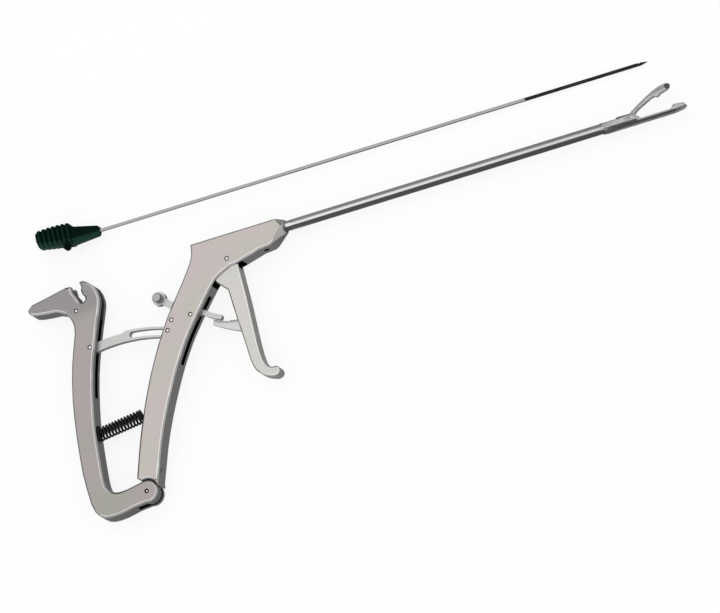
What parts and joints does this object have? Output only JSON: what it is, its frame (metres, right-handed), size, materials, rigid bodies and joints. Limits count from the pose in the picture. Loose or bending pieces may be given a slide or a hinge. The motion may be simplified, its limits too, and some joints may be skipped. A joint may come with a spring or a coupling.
{
  "type": "suture passer",
  "caption": "Pistol-grip arthroscopic suture passer with a long shaft, hinged jaw, finger trigger, squeeze handle and a separate flexible needle.",
  "frame": {"origin": "on the underside of the frame, on the shaft's axis line, level with the trigger's pivot", "axes": "+X along the shaft to the jaws, +Y up in the plane of the handles, +Z up from the surface that the instrument lies on"},
  "size_m": [0.2976, 0.1301, 0.01],
  "materials": {
    "satin_steel": "satin blasted",
    "rear_handle_steel": "satin blasted, a little darker",
    "trigger_steel": "satin blasted, a little lighter",
    "lever_steel": "satin",
    "jaw_steel": "fine brushed",
    "polished_steel": "polished",
    "needle_steel": "polished",
    "needle_black": "dark oxide, semi-gloss",
    "spring_black": "black oxide",
    "hub_green": "moulded satin"
  },
  "bodies": {
    "root": {"front_handle": "satin_steel", "shaft_tube": "polished_steel", "shaft_collar": "satin_steel", "shaft_set_screw": "polished_steel", "needle_guide_tube": "polished_steel", "lower_jaw": "jaw_steel", "jaw_pin": "jaw_steel", "trigger_pivot_pin": "polished_steel", "release_pin": "polished_steel", "release_spring": "spring_black", "leaf_spring_pin": "polished_steel", "guide_stop_pin": "polished_steel", "main_pivot_pin": "polished_steel", "return_spring": "spring_black", "needle_hub": "hub_green", "needle_rod": "needle_steel", "needle_blade": "needle_black"},
    "rear_handle": {"rear_handle": "rear_handle_steel", "guide_link": "lever_steel", "guide_link_pin": "polished_steel", "hub_stop_pin": "polished_steel"},
    "trigger": {"trigger": "trigger_steel", "trigger_drive_pin": "polished_steel", "ratchet_bar": "lever_steel"},
    "jaw_rod": {"jaw_rod": "polished_steel", "rod_yoke": "satin_steel", "rod_fork": "satin_steel", "rod_fork_pin": "polished_steel"},
    "upper_jaw": {"upper_jaw": "jaw_steel"},
    "release_lever": {"release_lever": "lever_steel", "release_knob": "lever_steel"}
  },
  "joints": [
    {"name": "squeeze", "type": "hinge", "parent": "root", "child": "rear_handle", "pos_m": [-0.0556, -0.0942, 0.005], "axis": [0, 0, -1], "range_deg": [0, 12.5], "stiffness_Nm_per_rad": 0.8, "springref_deg": -11.46, "deforming": ["return_spring"]},
    {"name": "trigger_pull", "type": "hinge", "parent": "root", "child": "trigger", "pos_m": [0, -0.0072, 0.005], "axis": [0, 0, -1], "range_deg": [0, 14]},
    {"name": "rod_slide", "type": "slide", "parent": "root", "child": "jaw_rod", "axis": [1, 0, 0], "range_m": [0, 0.00049]},
    {"name": "jaw_close", "type": "hinge", "parent": "root", "child": "upper_jaw", "pos_m": [0.1826, 0.00055, 0.005], "axis": [0, 0, -1], "range_deg": [0, 18.1]},
    {"name": "release_press", "type": "hinge", "parent": "root", "child": "release_lever", "pos_m": [-0.0207, -0.0259, 0.005], "axis": [0, 0, 1], "range_deg": [0, 7], "stiffness_Nm_per_rad": 0.03, "springref_deg": -11.46, "deforming": ["release_spring"]}
  ],
  "couplings": [
    {"joint": "rod_slide", "follows": "trigger_pull", "m_per_rad": 0.001995},
    {"joint": "jaw_close", "follows": "trigger_pull", "ratio": 1.2857}
  ]
}
